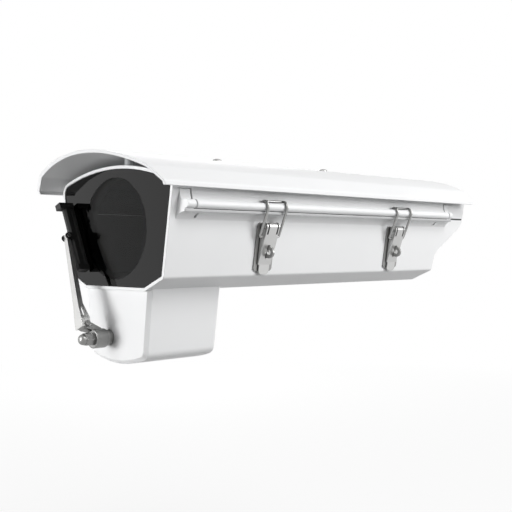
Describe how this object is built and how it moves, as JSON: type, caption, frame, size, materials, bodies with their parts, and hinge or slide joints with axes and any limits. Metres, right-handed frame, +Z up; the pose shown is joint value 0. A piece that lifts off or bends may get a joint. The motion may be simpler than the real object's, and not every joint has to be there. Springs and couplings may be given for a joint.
{
  "type": "camera housing",
  "caption": "White outdoor camera housing with hinged top, sun hood, wire-bail toggle latches and a window wiper.",
  "frame": {"origin": "middle of the four mounting holes, on the flat underside of the base", "axes": "+Z up, -Y out of the window, +X to the latch side and -X to the hinge side"},
  "size_m": [0.1733, 0.4535, 0.1764],
  "materials": {
    "painted_body": "satin powder coat, fine texture",
    "painted_hood": "satin powder coat, fine texture",
    "window_glass": "polished, clear",
    "black_mask": "fine matte",
    "seal_rubber": "matte",
    "stainless_sheet": "brushed",
    "stainless_wire": "drawn, bright",
    "turned_steel": "turned, bright",
    "spacer_plastic": "satin",
    "black_plastic": "matte",
    "nickel_brass": "nickel plated, satin",
    "bare_aluminium": "as extruded",
    "board_laminate": "satin solder mask",
    "terminal_plastic": "matte"
  },
  "bodies": {
    "housing": {"base_housing": "painted_body", "window_glass": "window_glass", "window_mask": "black_mask", "window_seal": "seal_rubber", "lid_seal": "seal_rubber", "latch_base_front": "stainless_sheet", "latch_base_rear": "stainless_sheet", "latch_pin_front": "turned_steel", "latch_pin_rear": "turned_steel", "latch_rivets": "turned_steel", "hinge_pin_front": "turned_steel", "hinge_pin_rear": "turned_steel", "wiper_pod": "painted_body", "pod_screws": "turned_steel", "shaft_bushing": "turned_steel", "wiper_gearbox": "black_plastic", "wiper_motor": "turned_steel", "gland_body_left": "nickel_brass", "gland_body_right": "nickel_brass", "gland_nut_left": "nickel_brass", "gland_nut_right": "nickel_brass", "gland_seal_left": "seal_rubber", "gland_seal_right": "seal_rubber", "gland_locknuts": "nickel_brass", "camera_rail": "stainless_sheet", "heater": "bare_aluminium", "power_board": "board_laminate", "terminal_block": "terminal_plastic", "inner_screws": "turned_steel", "fan_frame": "black_plastic"},
    "lid": {"top_cover": "painted_body", "sun_hood": "painted_hood", "hood_spacer_front": "spacer_plastic", "hood_spacer_middle": "spacer_plastic", "hood_spacer_rear": "spacer_plastic", "hood_screws": "turned_steel"},
    "lever_front": {"latch_lever_front": "stainless_sheet"},
    "lever_rear": {"latch_lever_rear": "stainless_sheet"},
    "bail_front": {"latch_bail_front": "stainless_wire"},
    "bail_rear": {"latch_bail_rear": "stainless_wire"},
    "wiper_drive": {"wiper_shaft": "turned_steel", "wiper_hub": "turned_steel", "wiper_nut": "turned_steel", "knuckle_pin": "turned_steel"},
    "arm": {"wiper_arm": "stainless_sheet", "arm_spring": "stainless_wire", "blade_pin": "turned_steel"},
    "blade": {"blade_carrier": "black_plastic", "blade_rubber": "seal_rubber"},
    "rotor": {"fan_rotor": "black_plastic"},
    "carriage": {"camera_carriage": "stainless_sheet", "camera_screw": "turned_steel"}
  },
  "joints": [
    {"name": "lid_hinge", "type": "hinge", "parent": "housing", "child": "lid", "pos_m": [-0.0835, 0, 0.061], "axis": [0, -1, 0], "range_deg": [0, 75]},
    {"name": "latch_lever_front", "type": "hinge", "parent": "housing", "child": "lever_front", "pos_m": [0.0758, -0.1005, 0.0522], "axis": [0, -1, 0], "range_deg": [0, 135]},
    {"name": "latch_lever_rear", "type": "hinge", "parent": "housing", "child": "lever_rear", "pos_m": [0.0758, 0.0823, 0.0522], "axis": [0, -1, 0], "range_deg": [0, 135]},
    {"name": "latch_bail_front", "type": "hinge", "parent": "lever_front", "child": "bail_front", "pos_m": [0.07362, -0.1005, 0.04347], "axis": [0, 1, 0], "range_deg": [0, 175.5]},
    {"name": "latch_bail_rear", "type": "hinge", "parent": "lever_rear", "child": "bail_rear", "pos_m": [0.07362, 0.0823, 0.04347], "axis": [0, 1, 0], "range_deg": [0, 175.5]},
    {"name": "wiper_sweep", "type": "hinge", "parent": "housing", "child": "wiper_drive", "pos_m": [-0.01, 0, -0.04], "axis": [0, 1, 0], "range_deg": [0, 62]},
    {"name": "arm_lift", "type": "hinge", "parent": "wiper_drive", "child": "arm", "pos_m": [-0.01496, -0.2265, -0.02907], "axis": [0.9107, 0, 0.4131], "range_deg": [0, 50]},
    {"name": "blade_rock", "type": "hinge", "parent": "arm", "child": "blade", "pos_m": [-0.0478, -0.2213, 0.04333], "axis": [0.9107, 0, 0.4131], "range_deg": [0, 15]},
    {"name": "fan_spin", "type": "hinge", "parent": "housing", "child": "rotor", "pos_m": [0, 0.11, 0.032], "axis": [0, 1, 0], "continuous": true},
    {"name": "carriage_slide", "type": "slide", "parent": "housing", "child": "carriage", "axis": [0, 1, 0], "range_m": [-0.03, 0.03]}
  ],
  "couplings": [
    {"joint": "latch_bail_front", "follows": "latch_lever_front", "ratio": 1.3},
    {"joint": "latch_bail_rear", "follows": "latch_lever_rear", "ratio": 1.3},
    {"joint": "blade_rock", "follows": "arm_lift", "ratio": 0.3}
  ]
}
